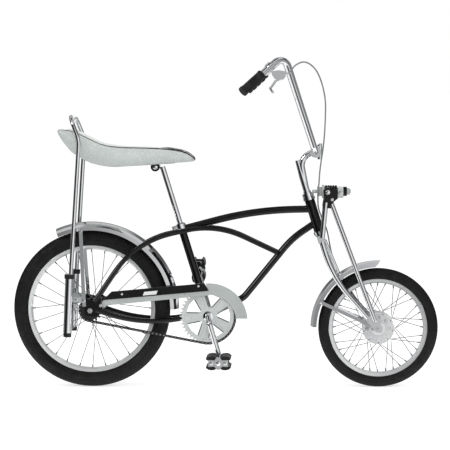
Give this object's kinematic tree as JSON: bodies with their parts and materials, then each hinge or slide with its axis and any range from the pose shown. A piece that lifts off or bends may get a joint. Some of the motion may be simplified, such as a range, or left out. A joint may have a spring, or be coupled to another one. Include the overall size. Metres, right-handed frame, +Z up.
{
  "type": "chopper bicycle",
  "caption": "Chopper bicycle with a small front wheel in a springer fork, high-rise handlebar, banana saddle, sissy bar and chrome fenders.",
  "frame": {"origin": "middle of the saddle's top, where the rider sits", "axes": "+X forward, toward the front wheel; +Y to the rider's left; +Z up"},
  "size_m": [1.3922, 0.6214, 1.0793],
  "materials": {
    "frame_paint": "gloss black enamel",
    "chrome": "bright chrome plate",
    "silver_paint": "satin silver",
    "alloy": "polished alloy",
    "black_plastic": "black plastic",
    "vinyl": "white sparkle vinyl",
    "rubber": "matt black rubber",
    "tyre": "black tyre rubber",
    "chain_steel": "dark oiled steel",
    "cable_sheath": "grey cable housing"
  },
  "bodies": {
    "frame": {"head_tube": "frame_paint", "top_tube": "frame_paint", "down_tube": "frame_paint", "seat_tube": "frame_paint", "bottom_bracket": "frame_paint", "twin_tubes": "frame_paint", "chainstays": "frame_paint", "dropouts": "frame_paint", "headset_cups": "chrome", "seat_post": "chrome", "post_clamp": "chrome", "saddle_clamp": "frame_paint", "saddle_pan": "frame_paint", "saddle": "vinyl", "sissy_bar": "chrome", "shocks": "chrome", "shock_caps": "black_plastic", "shock_brackets": "silver_paint", "rear_fender": "chrome", "rear_fender_stays": "chrome", "guard_panel": "frame_paint", "chain_guard": "silver_paint", "chain": "chain_steel", "rear_axle": "chrome", "brake_arm": "frame_paint"},
    "front_end": {"fork_crown": "chrome", "fork_legs": "chrome", "rocker_tubes": "chrome", "struts": "chrome", "spring_yoke": "frame_paint", "fork_spring": "frame_paint", "spring_bolt": "silver_paint", "stem": "chrome", "handlebar": "chrome", "grips": "rubber", "brake_lever": "chrome", "brake_cable": "cable_sheath", "front_fender": "chrome", "front_fender_stays": "chrome", "front_axle": "chrome", "brake_plate": "alloy"},
    "front_wheel": {"front_tyre": "tyre", "front_rim": "chrome", "front_hub": "alloy"},
    "rear_wheel": {"rear_tyre": "tyre", "rear_rim": "chrome", "rear_hub": "alloy"},
    "driver": {"rear_cog": "chain_steel"},
    "crankset": {"crank": "chrome", "chainring": "silver_paint"},
    "right_pedal": {"pedal_frame_right": "chrome", "pedal_blocks_right": "rubber"},
    "left_pedal": {"pedal_frame_left": "chrome", "pedal_blocks_left": "rubber"}
  },
  "joints": [
    {"name": "steering", "type": "hinge", "parent": "frame", "child": "front_end", "pos_m": [0.627, 0, -0.2253], "axis": [-0.2924, 0, 0.9563], "range_deg": [-60, 60]},
    {"name": "front_wheel_spin", "type": "hinge", "parent": "front_end", "child": "front_wheel", "pos_m": [0.835, 0, -0.5935], "axis": [0, 1, 0], "continuous": true},
    {"name": "rear_wheel_spin", "type": "hinge", "parent": "frame", "child": "rear_wheel", "pos_m": [-0.104, 0, -0.531], "axis": [0, 1, 0], "continuous": true},
    {"name": "crank_spin", "type": "hinge", "parent": "frame", "child": "crankset", "pos_m": [0.28, 0, -0.552], "axis": [0, 1, 0], "continuous": true},
    {"name": "driver_spin", "type": "hinge", "parent": "frame", "child": "driver", "pos_m": [-0.104, 0, -0.531], "axis": [0, 1, 0], "continuous": true},
    {"name": "right_pedal_spin", "type": "hinge", "parent": "crankset", "child": "right_pedal", "pos_m": [0.31859, -0.138, -0.68658], "axis": [0, 1, 0], "continuous": true},
    {"name": "left_pedal_spin", "type": "hinge", "parent": "crankset", "child": "left_pedal", "pos_m": [0.24141, 0.138, -0.41742], "axis": [0, 1, 0], "continuous": true}
  ],
  "couplings": [
    {"joint": "driver_spin", "follows": "crank_spin", "ratio": 2.4444}
  ]
}
